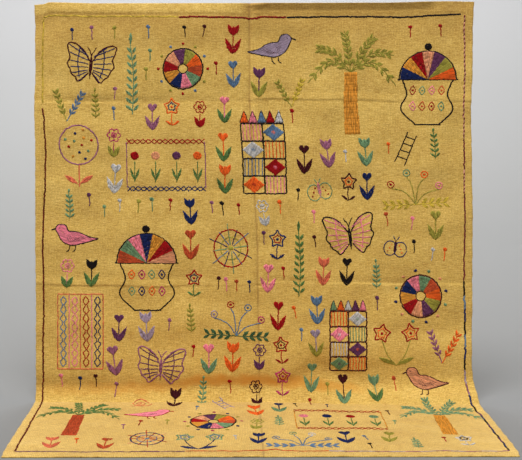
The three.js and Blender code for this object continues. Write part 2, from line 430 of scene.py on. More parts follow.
def make_mesh(name, points, faces, flat=None, tone=None):
    mesh = bpy.data.meshes.new(name)
    mesh.from_pydata(points.tolist(), [], faces.tolist())
    if flat is not None:
        layer = mesh.uv_layers.new(name="flat")
        corner = np.empty(len(mesh.loops), dtype=np.int32)
        mesh.loops.foreach_get("vertex_index", corner)
        layer.data.foreach_set("uv", flat[corner].astype(np.float32).ravel())
    if tone is not None:
        attribute = mesh.attributes.new("tone", "FLOAT", "POINT")
        attribute.data.foreach_set("value", tone.astype(np.float32))
    mesh.shade_smooth()
    obj = bpy.data.objects.new(name, mesh)
    bpy.context.scene.collection.objects.link(obj)
    return obj


def grid_lines(end, step, fine_places):
    """Places from 0 to the end, a step apart, and closer near the (place, reach, step) given."""
    lines = list(np.linspace(0, end, int(end / step) + 1))
    for middle, reach, fine in fine_places:
        lines = [v for v in lines if abs(v - middle) > reach]
        near = np.arange(middle - reach, middle + reach + fine / 2, fine)
        lines += [v for v in near if 0 <= v <= end]
    lines = sorted({0.0, end, *(round(v, 5) for v in lines)})
    kept = [lines[0]]
    for value in lines[1:-1]:
        if value - kept[-1] > 0.0024 and end - value > 0.0024:
            kept.append(value)
    return np.array([*kept, end])


def make_cloth():
    middle = CLOTH_WIDTH / 2
    columns = grid_lines(CLOTH_WIDTH, 0.0165, [
        (0.024, 0.024, 0.006),
        (CLOTH_WIDTH - 0.024, 0.024, 0.006),
        (middle, 0.030, 0.006),
        (middle, 0.011, 0.0028),
    ]) - middle
    crease_rows = [HANG_HEIGHT - (left[0] + right[0]) / 2 for left, right in LEVEL_CREASES]
    creases = [(row, 0.042, 0.006) for row in crease_rows]
    creases += [(row, 0.022, 0.0030) for row in crease_rows]
    rows = grid_lines(CLOTH_LENGTH, 0.0165, [
        (0.028, 0.030, 0.0048),
        *creases,
        (1.68, 0.24, 0.011),
        (1.824, 0.012, 0.0035),
        (CLOTH_LENGTH - 0.026, 0.026, 0.0065),
    ])
    x, along = np.meshgrid(columns, rows)
    back, face, _ = place(x.ravel(), along.ravel())
    flat = np.stack([x.ravel(), along.ravel()], axis=1)
    tall, wide = x.shape
    count = tall * wide
    index = np.arange(count).reshape(tall, wide)
    a, b, c, d = index[:-1, :-1], index[1:, :-1], index[1:, 1:], index[:-1, 1:]
    faces = [np.stack([a, b, c, d], -1).reshape(-1, 4)]
    faces.append(np.stack([d, c, b, a], -1).reshape(-1, 4) + count)
    rim = np.concatenate([index[:, 0], index[-1, 1:], index[-2::-1, -1], index[0, -2:0:-1]])
    after = np.roll(rim, -1)
    faces.append(np.stack([rim, rim + count, after + count, after], -1))
    cloth = make_mesh(
        "rug_weave", np.concatenate([face, back]), np.concatenate(faces), np.concatenate([flat, flat]))
    cloth.data.materials.append(cloth_material())
    return cloth


# Stitches. Each is a small raised lozenge of thread with a rounded top.
STITCH_PLACES = np.array([0.0, 0.08, 0.5, 0.92, 1.0])
STITCH_SWELL = np.array([0.0, 0.86, 1.0, 0.86, 0.0])


def stitch_faces(count):
    """The triangles of each stitch: a fan at each tip and three strips between the rings."""
    faces = []
    for side in range(3):
        step = (side + 1) % 3
        faces.append((0, 1 + side, 1 + step))
        for ring in (1, 4):
            faces.append((ring + side, ring + 3 + side, ring + 3 + step))
            faces.append((ring + side, ring + 3 + step, ring + step))
        faces.append((10, 7 + step, 7 + side))
    one = np.array(faces)
    return (one[None] + 11 * np.arange(count)[:, None, None]).reshape(-1, 3)


def make_stitches(name, rows, material):
    """One mesh of all the stitches of a thread. Rows are x0, along0, x1, along1, width, height."""
    rows = np.array(rows)
    start, end = rows[:, 0:2], rows[:, 2:4]
    run = end - start
    size = np.linalg.norm(run, axis=1, keepdims=True)
    side = np.stack([-run[:, 1], run[:, 0]], axis=1) / np.maximum(size, 1e-9)
    points = np.zeros((len(rows), 11, 3))
    points[:, 0, :2], points[:, 10, :2] = start, end
    points[:, (0, 10), 2] = SINK
    for ring in range(3):
        middle = start + run * STITCH_PLACES[ring + 1]
        half = side * (rows[:, 4:5] / 2 * STITCH_SWELL[ring + 1])
        first = 1 + 3 * ring
        points[:, first, :2] = middle - half
        points[:, first + 1, :2] = middle + half
        points[:, first + 2, :2] = middle
        points[:, first:first + 2, 2] = SINK
        points[:, first + 2, 2] = rows[:, 5] * STITCH_SWELL[ring + 1]
    tone = np.repeat(rng.random(len(rows)), 11)
    obj = make_mesh(name, lay_on_face(points.reshape(-1, 3)), stitch_faces(len(rows)), tone=tone)
    obj.data.materials.append(material)
    return obj


STITCHES = {name: [] for name in COLOURS}


def sew(colour, start, end, width, height):
    STITCHES[colour].append((*start, *end, width, height))


def sew_line(points, colour, width=LINE_WIDTH, closed=False, run=COLOUR_RUN):
    """A row of slanting stitches that overlap along a path, as in stem stitch."""
    path = np.array(points, float)
    if closed:
        path = np.vstack([path, path[:1]])
    leg = np.linalg.norm(np.diff(path, axis=0), axis=1)
    total = leg.sum()
    if total < SHORTEST_STITCH:
        return
    travelled = np.concatenate([[0], np.cumsum(leg)])
    ends = np.linspace(0, total, max(1, round(total / LINE_STEP)) + 1)
    for low, high in zip(ends, ends[1:]):
        a, b = (np.array([np.interp(at, travelled, path[:, k]) for k in (0, 1)])
                for at in (low - LINE_OVERLAP, high + LINE_OVERLAP))
        lean = np.array([-(b - a)[1], (b - a)[0]]) * LINE_SLANT
        wobble = rng.normal(0, LINE_WOBBLE, 2)
        colour_here = colour if isinstance(colour, str) else colour[int(low / run) % len(colour)]
        thick = width * rng.uniform(0.92, 1.08)
        sew(colour_here, a - lean + wobble, b + lean + wobble, thick, LINE_HEIGHT)


def sew_fill(outline, colour, turn):
    """Satin stitch: close threads side by side across an outline, long ones laid in steps."""
    outline = np.array(outline, float)
    along = np.array([math.cos(math.radians(turn)), math.sin(math.radians(turn))])
    across = np.array([-along[1], along[0]])
    u, v = outline @ along, outline @ across
    u2, v2 = np.roll(u, -1), np.roll(v, -1)
    stagger = SATIN_STAGGER
    level = v.min() + SATIN_PITCH * 0.6
    while level < v.max():
        crossing = (v <= level) != (v2 <= level)
        at = np.sort(u[crossing] + (level - v[crossing]) / (v2 - v)[crossing] * (u2 - u)[crossing])
        stagger = -stagger
        for low, high in zip(at[0::2], at[1::2]):
            parts = max(1, math.ceil((high - low) / SATIN_LONGEST))
            cuts = np.linspace(low, high, parts + 1)
            cuts[1:-1] += stagger * (high - low) / parts
            for number, (a, b) in enumerate(zip(cuts, cuts[1:])):
                ends = rng.normal(0, SATIN_WOBBLE["along"], 2)
                a = a + ends[0] - SATIN_LAP * (number > 0)
                b = b + ends[1] + SATIN_LAP * (number < parts - 1)
                first = along * a + across * level
                last = along * b + across * (level + rng.normal(0, SATIN_WOBBLE["across"]))
                if b - a > SHORTEST_STITCH:
                    sew(colour, first, last, SATIN_WIDTH, SATIN_HEIGHT)
        level += SATIN_PITCH


class Spot:
    """A place on the flat cloth for a motif, drawn in its own units with y up."""

    def __init__(self, x, along, size, turn=0.0, flip=1):
        self.x, self.along, self.size, self.flip = x, along, size, flip
        self.turn = math.radians(turn)

    def at(self, points):
        p = np.array(points, float).reshape(-1, 2) * (self.flip, 1)
        c, s = math.cos(self.turn), math.sin(self.turn)
        turned = np.stack([p[:, 0] * c - p[:, 1] * s, p[:, 0] * s + p[:, 1] * c], axis=1)
        return np.array([self.x, self.along]) + turned * (self.size, -self.size)

    def line(self, points, colour, width=LINE_WIDTH, closed=False):
        sew_line(self.at(points), colour, width, closed)

    def fine(self, points, colour, closed=False):
        self.line(points, colour, FINE_LINE, closed)

    def fill(self, points, colour, turn=90.0):
        heading = -math.degrees(self.turn) + (180 - turn if self.flip > 0 else turn)
        sew_fill(self.at(points), colour, heading)

    def dot(self, x, y, radius, colour):
        self.fill(circle(x, y, radius, 12), colour, 70)


def ring(x, y, reach, turn, squash=1.0):
    """Points round a centre at the given turns and reaches."""
    return np.stack([x + reach * np.cos(turn), y + reach * squash * np.sin(turn)], axis=1)


def circle(x, y, radius, steps=24, squash=1.0):
    return ring(x, y, radius, np.linspace(0, math.tau, steps, endpoint=False), squash)


def star_outline(x, y, outer, inner, turn=0.0):
    corners = np.arange(10)
    return ring(x, y, np.where(corners % 2, inner, outer), corners * math.tau / 10 + math.pi / 2 + turn)


def petal(base, tip, width, belly=0.55):
    """The outline of a leaf or petal from its base to its tip."""
    base, tip = np.array(base, float), np.array(tip, float)
    t = np.linspace(0, 1, 9)
    swell = np.sin(math.pi * t ** (math.log(0.5) / math.log(belly)))
    run = tip - base
    side = np.array([-run[1], run[0]]) / np.linalg.norm(run) * width / 2
    spine = base + t[:, None] * run
    bulge = swell[:, None] * side
    return np.vstack([spine + bulge, (spine - bulge)[-2:0:-1]])


def curve(points, steps=20):
    """A smooth curve through a few points."""
    p = np.array(points, float)
    p = np.vstack([2 * p[0] - p[1], p, 2 * p[-1] - p[-2]])
    out = []
    for a, b, c, d in zip(p, p[1:], p[2:], p[3:]):
        for t in np.linspace(0, 1, max(2, steps // (len(p) - 3)), endpoint=False):
            out.append(0.5 * (2 * b + (c - a) * t + (2 * a - 5 * b + 4 * c - d) * t ** 2
                              + (3 * b - a - 3 * c + d) * t ** 3))
    return np.array([*out, p[-2]])


def leaf_pair(spot, colour, reach=0.28, height=0.54):
    """Two leaves that stand in a V at a flower's foot."""
    for side in (-1, 1):
        leaf = petal((side * -0.01, -0.02), (side * reach, height), 0.17, 0.42)
        spot.fill(leaf, colour, 90 - side * 24)


def low_leaves(spot, foot, reach, height, width, colour, lean):
    """Two leaves that spread to both sides from one foot."""
    for side in (-1, 1):
        spot.fill(petal(foot, (foot[0] + side * reach, height), width), colour, 90 - side * lean)


def slanting_leaves(spot, base, run, length, spread, width, colour):
    """Two leaves that slant forward from a stem, which runs the given way."""
    normal = np.array([-run[1], run[0]])
    heading = math.degrees(math.atan2(run[1], run[0]))
    for side in (-1, 1):
        tip = base + run * length + normal * side * spread
        spot.fill(petal(base, tip, width), colour, heading + side * 30)


def tulip(spot, colour, leaves):
    for side in (-1, 0, 1):
        tip = (side * 0.19, 1.0 if side else 0.95)
        spot.fill(petal((0, 0.60), tip, 0.17, 0.5), colour, 90 - side * 22)
    spot.line([(0, 0.64), (0, 0.18)], colour, STEM_WIDTH)
    leaf_pair(spot, leaves)


def heart_flower(spot, colour, leaves):
    turn = np.linspace(0, math.tau, 22, endpoint=False)
    heart_x = 0.0110 * 16 * np.sin(turn) ** 3
    heart_y = 0.0120 * sum(size * np.cos(k * turn) for k, size in ((1, 13), (2, -5), (3, -2), (4, -1)))
    spot.fill(np.stack([heart_x, heart_y + 0.84], axis=1), colour)
    spot.line([(0, 0.68), (0, 0.18)], colour, STEM_WIDTH)
    leaf_pair(spot, leaves)


def pin(spot, colour):
    spot.dot(0, 0.86, 0.155, colour)
    spot.fine([(0, 0.75), (0.03, 0.4), (0.02, 0.0)], colour)


def star(spot, rim, inner, stem):
    spot.line(star_outline(0, 0.68, 0.31, 0.16), rim, closed=True)
    spot.fine(star_outline(0, 0.68, 0.17, 0.09), inner, closed=True)
    spot.dot(0, 0.68, 0.045, rim)
    spot.fine([(0, 0.50), (-0.03, 0.25), (0, 0)], stem)
    low_leaves(spot, (0, 0.02), 0.26, 0.20, 0.08, stem, 50)


def rosette(spot, rim, leaves):
    middle, inside = 0.72, 0.125
    for k in range(6):
        turn = k * math.tau / 6
        lobe = circle(0.15 * math.cos(turn), middle + 0.15 * math.sin(turn), 0.085, 14)
        outer = lobe[np.hypot(lobe[:, 0], lobe[:, 1] - middle) > inside]
        order = np.argsort((np.arctan2(outer[:, 1] - middle, outer[:, 0]) - turn + math.pi) % math.tau)
        spot.fine(outer[order], rim)
    spot.fine(circle(0, middle, 0.095, 14), rim, closed=True)
    spot.dot(0, middle, 0.05, rim)
    spot.fine([(0, 0.48), (0, 0.1)], rim)
    leaf_pair(spot, leaves, 0.20, 0.38)


def sprig(spot, colour, pairs=6, reach=0.17):
    """An upright stem with pairs of slanting leaves."""
    spot.fine(curve([(0, 0), (0.02, 0.4), (-0.01, 0.9)]), colour)
    step = 0.80 / pairs
    for k in range(pairs):
        y = 0.04 + k * step
        for side in (-1, 1):
            tip = (side * mix(reach, reach * 0.6, k / pairs), y + step * 0.95)
            spot.fill(petal((0.01, y), tip, reach * 0.42), colour, 90 - side * 35)
    spot.fill(petal((-0.01, 0.86), (0, 1.02), reach * 0.45), colour)


def tall_sprig(spot, colour):
    sprig(spot, colour, 9, 0.085)


def frond(spot, start, end, sag, colour):
    """A bent spine with slanting leaves on both sides."""
    middle = (np.array(start) + np.array(end)) / 2 + (0, sag)
    spine = curve([start, middle, end], 30)
    spot.fine(spine, colour)
    for i in range(7, len(spine), 4):
        run = spine[i] - spine[i - 1]
        run = run / np.linalg.norm(run)
        slanting_leaves(spot, spine[i - 3], run, 0.075, 0.042, 0.026, colour)


def palm(spot, trunk, leaves):
    spot.fill([(-0.075, 0), (0.075, 0.0), (0.062, 0.62), (-0.062, 0.62)], trunk)
    for reach, high, sag in ((-0.42, 0.52, 0.16), (-0.34, 0.86, 0.08), (-0.06, 1.03, 0.02),
                             (0.24, 0.97, 0.04), (0.42, 0.78, 0.10), (0.44, 0.48, 0.16)):
        frond(spot, (0.0, 0.62), (reach, high), sag, leaves)


def butterfly(spot, rim, rib):
    """Square-shouldered wings with scalloped lower edges and ribs."""
    wing = [(0.03, 0.06), (0.16, 0.26), (0.34, 0.38), (0.48, 0.37), (0.47, 0.24), (0.42, 0.10),
            (0.47, -0.02), (0.40, -0.12), (0.37, -0.22), (0.28, -0.27), (0.24, -0.36), (0.15, -0.30),
            (0.03, -0.16)]
    for side in (-1, 1):
        outline = curve([(side * x, y) for x, y in wing], 60)
        spot.line(outline, rim)
        for tip in outline[9:-6:6]:
            spot.fine([(side * 0.05, tip[1] * 0.45 - 0.02), tip * 0.95], rib)
        spot.fine(curve([(side * 0.24, 0.30), (side * 0.26, 0.02), (side * 0.20, -0.28)], 12), rib)
        spot.fine(curve([(0, 0.16), (side * 0.03, 0.24), (side * 0.09, 0.33)], 8), rim)
    spot.fill(petal((0, -0.30), (0, 0.20), 0.07), rim)


def bird(spot, rim, body, wing):
    """A bird in profile with a hatched wing."""
    outline = curve([(-0.50, 0.02), (-0.30, 0.05), (-0.05, 0.16), (0.14, 0.18), (0.20, 0.30),
                     (0.34, 0.33), (0.42, 0.24), (0.36, 0.12), (0.28, -0.02), (0.08, -0.12),
                     (-0.16, -0.08), (-0.50, 0.02)], 60)
    spot.fill(outline, body, 20)
    spot.line(outline, rim, closed=True)
    for lag in (0.0, 0.06, 0.12):
        spot.fine(curve([(-0.24 + lag, 0.05), (0.0 + lag, -0.05), (0.12 + lag / 2, 0.10)], 10), wing)
    spot.line([(0.41, 0.24), (0.51, 0.20)], rim)
    spot.dot(0.33, 0.25, 0.022, rim)
    for foot in (-0.01, 0.12):
        spot.fine([(foot, -0.12), (foot + 0.01, -0.24), (foot + 0.07, -0.26)], rim)


def wheel(spot, rim, spokes, inner):
    spot.line(circle(0, 0, 0.33, 36, 1.12), rim, closed=True)
    spot.fine(circle(0, 0, 0.20, 26, 1.12), inner, closed=True)
    for k in range(12):
        turn = k * math.tau / 12 + 0.13
        ray = np.array([math.cos(turn), 1.12 * math.sin(turn)])
        spot.fine([ray * 0.06, ray * (0.45 if k % 2 else 0.36)], spokes[k % len(spokes)])
    spot.dot(0, 0, 0.05, inner)


def medallion(spot, rim, wedges, beads):
    """A round of coloured wedges with a beaded ring."""
    for k, colour in enumerate(wedges):
        turns = np.linspace(k, k + 1, 5) * math.tau / len(wedges) + 0.2
        wedge = np.vstack([ring(0, 0, 0.36, turns), ring(0, 0, 0.09, turns[::-1])])
        spot.fill(wedge, colour, math.degrees(turns[2]))
    spot.line(circle(0, 0, 0.37, 40), rim, closed=True)
    spot.fine(circle(0, 0, 0.09, 14), rim, closed=True)
    count = len(beads) * 4
    for k in range(count):
        turn = k * math.tau / count
        spot.dot(0.46 * math.cos(turn), 0.46 * math.sin(turn), 0.028, beads[k % len(beads)])


def fan_vase(spot, rim, wedges, beads):
    """A half round of coloured wedges over a vase with rows of small diamonds."""
    for k, colour in enumerate(wedges):
        turns = math.pi * np.linspace(k, k + 1, 4) / len(wedges)
        arc = np.stack([0.33 * np.cos(turns), 0.08 + 0.34 * np.sin(turns)], axis=1)
        spot.fill(np.vstack([arc, (0, 0.08)]), colour, math.degrees(turns[1]))
    spot.line(circle(0, 0.08, 0.34)[:13], rim)
    spot.line([(-0.36, 0.08), (0.36, 0.08)], rim)
    for side in (-1, 1):
        flank = [(side * 0.30, 0.08), (side * 0.24, -0.10), (side * 0.31, -0.28), (side * 0.14, -0.46)]
        spot.line(curve(flank, 18), rim)
    spot.line([(-0.16, -0.46), (0.16, -0.46)], rim)
    for row, level in enumerate((-0.05, -0.24)):
        for k in range(4):
            x = mix(-0.17, 0.17, k / 3)
            colour = beads[(k + row * 2) % len(beads)]
            diamond = [(x - 0.04, level), (x, level + 0.06), (x + 0.04, level), (x, level - 0.06)]
            spot.fine(diamond, colour, closed=True)
            spot.dot(x, level, 0.014, colour)
    spot.fill(circle(0, 0.47, 0.045, 10), rim)


def chain_panel(spot, rims, chains):
    """An upright panel of diamond chains between straight lines."""
    half, low, high, links = 0.30, -0.47, 0.47, 8
    columns = len(chains)
    for k in range(columns + 1):
        x = mix(-half, half, k / columns)
        spot.fine([(x, -0.5), (x, 0.5)], rims[k % len(rims)])
    for y in (-0.5, 0.5):
        spot.fine([(-half, y), (half, y)], rims[0])
    step, wide = (high - low) / links, half / columns * 0.62
    for k, colour in enumerate(chains):
        x = mix(-half, half, (k + 0.5) / columns)
        for side in (-1, 1):
            zigzag = [(x + side * wide * (i % 2), low + i * step / 2) for i in range(2 * links + 1)]
            spot.fine(zigzag, colour)


def patch_panel(spot, rim, colours):
    """An upright panel of small hatched and filled blocks, with a toothed head."""
    half, low, high, rows, columns, teeth = 0.26, -0.5, 0.34, 4, 2, 5
    for r in range(rows):
        for c in range(columns):
            x0, x1 = mix(-half, half, c / columns), mix(-half, half, (c + 1) / columns)
            y0, y1 = mix(low, high, r / rows), mix(low, high, (r + 1) / rows)
            colour, other = (colours[(r * 2 + c + k) % len(colours)] for k in (0, 3))
            if (r + c) % 2:
                for t in np.linspace(0.1, 0.9, 6):
                    spot.fine([(mix(x0, x1, t), y0), (mix(x0, x1, t), y1)], colour)
            else:
                x, y = (x0 + x1) / 2, (y0 + y1) / 2
                spot.fill([(x0, y), (x, y1), (x1, y), (x, y0)], colour, 60)
                spot.dot(x, y, 0.025, other)
            spot.line([(x0, y0), (x1, y0), (x1, y1), (x0, y1)], rim, closed=True)
    step = 2 * half / teeth
    for k in range(teeth):
        x = mix(-half, half, k / teeth)
        tooth = [(x, 0.35), (x + step, 0.35), (x + step / 2, 0.50)]
        spot.fill(tooth, colours[k % len(colours)])
        spot.fine(tooth, rim, closed=True)


def flower_bed(spot, rims, blooms):
    """A long panel with zigzag borders and a row of small flowers."""
    for level, colour in ((0.30, rims[0]), (-0.30, rims[1])):
        for first in (-0.035, 0.035):
            zigzag = [(mix(-0.5, 0.5, k / 14), level + (-first if k % 2 else first)) for k in range(15)]
            spot.fine(zigzag, colour)
    for x in (-0.5, 0.5):
        spot.fine([(x, -0.30), (x, 0.30)], rims[2])
    for k, colour in enumerate(blooms):
        x = mix(-0.40, 0.40, k / (len(blooms) - 1))
        spot.fine([(x, -0.22), (x, 0.05)], "leaf")
        spot.fill(circle(x, 0.12, 0.055, 12), colour, 80)
        low_leaves(spot, (x, -0.20), 0.06, -0.04, 0.03, "leaf", 30)


def fruit_tree(spot, rim, fruits, stem):
    """A round crown with fruit inside it, on a stem."""
    spot.line(circle(0, 0.64, 0.30, 36), rim, closed=True)
    count = len(fruits) * 3
    for k, colour in enumerate(fruits * 3):
        turn = k * 2.399
        reach = 0.25 * math.sqrt((k + 0.5) / count)
        spot.dot(reach * math.cos(turn), 0.64 + reach * math.sin(turn), 0.022, colour)
    spot.line([(0, 0.34), (0.01, 0.0)], stem, 0.0060)
    low_leaves(spot, (0, 0.04), 0.22, 0.18, 0.07, stem, 52)


def spray(spot, stem, buds, leaves):
    """Curved stems from one foot, with buds at their ends and leaves low down."""
    for (reach, high), colour in zip(((-0.40, 0.30), (-0.12, 0.48), (0.18, 0.44), (0.42, 0.24)), buds):
        spot.fine(curve([(0, 0), (reach * 0.4, high * 0.7), (reach, high)], 12), stem)
        spot.fine(circle(reach, high + 0.06, 0.06, 12), colour, closed=True)
        spot.dot(reach, high + 0.06, 0.022, colour)
    for side in (-1, 1):
        for k in range(4):
            x = side * mix(0.10, 0.46, k / 3)
            spot.fill(petal((x, 0.0), (x + side * 0.11, 0.10), 0.055), leaves, 90 - side * 50)
            spot.fill(petal((x, 0.0), (x + side * 0.11, -0.07), 0.05), leaves, 90 + side * 50)
        spot.fine([(0, 0), (side * 0.52, 0.01)], leaves)


def ladder(spot, colour):
    for side in (-1, 1):
        spot.line([(side * 0.16, -0.5), (side * 0.14, 0.5)], colour, STEM_WIDTH)
    for y in (-0.32, -0.10, 0.12, 0.34):
        spot.line([(-0.15, y), (0.15, y + 0.02)], colour, STEM_WIDTH)


def twin_stars(spot, rim, inner, stem):
    """Two star flowers whose stems meet at one foot."""
    for side in (-1, 1):
        x, y = side * 0.34, 0.76
        spot.fine(curve([(0.0, 0.0), (side * 0.20, 0.24), (x, 0.62)], 12), stem)
        spot.line(star_outline(x, y, 0.23, 0.12, side * 0.2), rim, closed=True)
        spot.fine(star_outline(x, y, 0.23 * 0.58, 0.12 * 0.58, side * 0.2), inner, closed=True)
        spot.dot(x, y, 0.035, rim)
        spot.fill(petal((0, 0.0), (side * 0.42, 0.20), 0.10), stem, 90 - side * 62)


def beetle(spot, rim, spots, body):
    """A round-winged beetle with spots."""
    for side in (-1, 1):
        spot.fine(circle(side * 0.20, -0.02, 0.24, 20, 1.2), rim, closed=True)
        for k in range(3):
            spot.dot(side * (0.14 + 0.07 * k), 0.12 - 0.13 * k, 0.030, spots)
        spot.fine([(side * 0.03, 0.30), (side * 0.12, 0.46)], rim)
    spot.fill(petal((0, -0.26), (0, 0.34), 0.13), body, 0)


def snail(spot, colour):
    turn = np.linspace(0, 2.3 * math.tau, 44)
    spot.fine(ring(0, 0.08, 0.30 * (1 - turn / turn[-1]) + 0.03, turn), colour)
    spot.fine(curve([(-0.34, -0.24), (0.10, -0.22), (0.36, -0.20), (0.44, 0.04)], 14), colour)


def leaning_branch(spot, first, second):
    """Two leafy branches that lean apart from one foot."""
    for lean, colour in ((-0.30, first), (0.42, second)):
        tip = np.array((lean, 0.95 - abs(lean) * 0.5))
        spot.fine([(0, 0), tip], colour)
        run = tip / np.linalg.norm(tip)
        for k in range(5):
            slanting_leaves(spot, tip * (0.22 + 0.16 * k), run, 0.15, 0.085, 0.055, colour)


# The embroidery's own layout. Large motifs: kind, x, along, size, turn, flip, colours
WEDGES = ["orange", "olive", "purple", "peach", "crimson", "amber", "navy", "pink", "teal", "rust"]
LARGE = (
    (butterfly, -0.74, 0.28, 0.235, -5, 1, ("maroon", "navy")),
    (tall_sprig, -0.545, 0.51, 0.37, 1, 1, ("teal",)),
    (medallion, -0.31, 0.30, 0.25, 0, 1, ("black", WEDGES, ["crimson", "steel", "olive"])),
    (bird, 0.10, 0.22, 0.22, 4, 1, ("black", "lavender", "maroon")),
    (palm, 0.46, 0.60, 0.46, 1, 1, ("amber", "olive")),
    (fan_vase, 0.80, 0.38, 0.38, 0, 1, ("black", WEDGES[:7], ["crimson", "teal", "pink", "rust"])),
    (fruit_tree, -0.80, 0.84, 0.30, 0, 1, ("mauve", ["crimson", "teal", "navy", "amber"], "salmon")),
    (flower_bed, -0.40, 0.74, 0.36, 0, 1,
     (("crimson", "navy", "mauve"), ["crimson", "peach", "purple", "orange"])),
    (patch_panel, 0.05, 0.68, 0.38, 0, 1, ("black", ["orange", "pink", "steel", "crimson", "silver"])),
    (spray, 0.74, 0.92, 0.27, 3, 1, ("olive", ("crimson", "teal", "orange", "pink"), "yellow")),
    (bird, -0.82, 1.08, 0.21, 0, -1, ("black", "pink", "black")),
    (fan_vase, -0.50, 1.22, 0.40, 0, 1, ("black", WEDGES[3:], ["orange", "magenta", "teal", "navy"])),
    (butterfly, 0.43, 1.06, 0.24, 6, 1, ("black", "pink")),
    (wheel, -0.12, 1.12, 0.23, 0, 1, ("crimson", ("teal", "steel", "navy"), "olive")),
    (chain_panel, -0.80, 1.50, 0.34, 0, 1, (("salmon", "pink"), ["steel", "pink", "crimson", "navy"])),
    (tall_sprig, 0.19, 1.34, 0.34, -1, 1, ("leaf",)),
    (medallion, 0.76, 1.34, 0.26, 12, 1, ("maroon", WEDGES[::-1], ["navy", "peach", "teal"])),
    (spray, -0.10, 1.52, 0.26, -3, 1,
     ("steel", ("lavender", "crimson", "steel", "magenta"), "deep_green")),
    (butterfly, -0.44, 1.66, 0.22, -4, 1, ("mauve", "purple")),
    (patch_panel, 0.42, 1.52, 0.33, 0, 1, ("maroon", ["teal", "orange", "silver", "purple", "pink"])),
    (bird, 0.78, 1.74, 0.21, 0, -1, ("maroon", "peach", "maroon")),
    (palm, -0.78, 2.26, 0.42, 0, 1, ("rust", "leaf")),
    (medallion, -0.20, 2.09, 0.26, 0, 1, ("black", WEDGES, ["magenta", "olive", "navy"])),
    (palm, 0.78, 2.24, 0.42, 0, 1, ("amber", "teal")),
    (flower_bed, 0.34, 2.06, 0.38, 0, 1,
     (("crimson", "crimson", "amber"), ["pink", "navy", "crimson", "teal"])),
    (bird, -0.48, 2.00, 0.21, 0, 1, ("crimson", "pink", "maroon")),
    (spray, 0.16, 2.38, 0.26, 0, 1, ("steel", ("steel", "teal", "silver", "steel"), "steel")),
    (wheel, -0.46, 2.30, 0.20, 0, 1, ("navy", ("rust", "peach", "crimson"), "steel")),
    (ladder, 0.70, 0.665, 0.15, -24, 1, ("black",)),
    (twin_stars, 0.645, 1.66, 0.20, 0, 1, ("crimson", "orange", "olive")),
    (beetle, 0.30, 0.86, 0.13, 10, 1, ("teal", "crimson", "pink")),
    (snail, -0.53, 1.85, 0.12, 0, 1, ("salmon",)),
    (beetle, 0.64, 1.12, 0.12, -8, 1, ("navy", "orange", "maroon")),
    (leaning_branch, -0.85, 0.54, 0.18, 0, 1, ("olive", "steel")),
    (leaning_branch, 0.19, 0.475, 0.16, 0, -1, ("yellow", "olive")),
    (leaning_branch, 0.86, 1.65, 0.19, 0, 1, ("mauve", "orange")),
    (ladder, -0.16, 1.86, 0.13, 30, 1, ("lavender",)),
    (twin_stars, -0.25, 2.42, 0.18, 0, 1, ("teal", "steel", "navy")),
)
# How much room a large motif takes, as shares of its size: half width, up, down
ROOM = {
    "butterfly": (0.50, 0.40, 0.38), "medallion": (0.50, 0.50, 0.50), "bird": (0.54, 0.36, 0.30),
    "palm": (0.44, 1.04, 0.02), "wheel": (0.46, 0.50, 0.50), "fruit_tree": (0.33, 0.96, 0.02),
    "patch_panel": (0.30, 0.52, 0.52), "flower_bed": (0.53, 0.37, 0.37), "spray": (0.52, 0.58, 0.09),
    "chain_panel": (0.33, 0.53, 0.53), "tall_sprig": (0.10, 1.04, 0.02), "fan_vase": (0.38, 0.52, 0.48),
    "ladder": (0.36, 0.50, 0.50), "twin_stars": (0.60, 1.0, 0.04), "beetle": (0.50, 0.50, 0.36),
    "snail": (0.50, 0.44, 0.32), "leaning_branch": (0.48, 0.94, 0.03),
}
FLOWER_COLOURS = (
    "crimson pink navy orange maroon mauve crimson steel black rust silver maroon teal pink purple "
    "crimson salmon olive navy magenta orange lavender").split()
PIN_COLOURS = (
    "crimson navy orange olive maroon silver mauve rust black steel pink teal crimson purple").split()
LEAF_COLOURS = ["leaf", "olive", "teal"]
FLOWER_KINDS = (tulip, heart_flower, tulip, heart_flower, rosette, heart_flower, star, sprig)
# Where the embroidery may lie on the flat cloth
FIELD = {"side": 0.915, "top": 0.085, "bottom": 2.435}


def room_of(kind, x, along, size):
    half, up, down = ROOM[kind.__name__]
    return x - half * size, x + half * size, along - up * size, along + down * size


def is_free(box, taken):
    return all(box[0] > t[1] or box[1] < t[0] or box[2] > t[3] or box[3] < t[2] for t in taken)


def sew_motifs():
    taken = []
    for kind, x, along, size, turn, flip, colours in LARGE:
        kind(Spot(x, along, size, turn, flip), *colours)
        taken.append(room_of(kind, x, along, size))
    sew_flowers(taken)
    sew_pins(taken)


def open_places(taken, step, width, height):
    """Places along a wavy front, from the top down, where a box of about this size is still free."""
    for front in np.arange(FIELD["top"], FIELD["bottom"] + 0.08, step):
        for x in np.arange(-FIELD["side"] + width[0] / 2, FIELD["side"] - width[0] / 2, step):
            along = front + waves(x, ((0.045, 9.0, front * 5.0), (0.02, 23.0, 1.0)))
            half, tall = rng.uniform(*width) / 2, rng.uniform(*height)
            box = (x - half, x + half, along - tall, along)
            inside = abs(x) + half < FIELD["side"] and box[2] > FIELD["top"] and along < FIELD["bottom"]
            if inside and is_free(box, taken):
                taken.append(box)
                yield x + rng.normal(0, 0.004), along - 0.014 + rng.normal(0, 0.003)


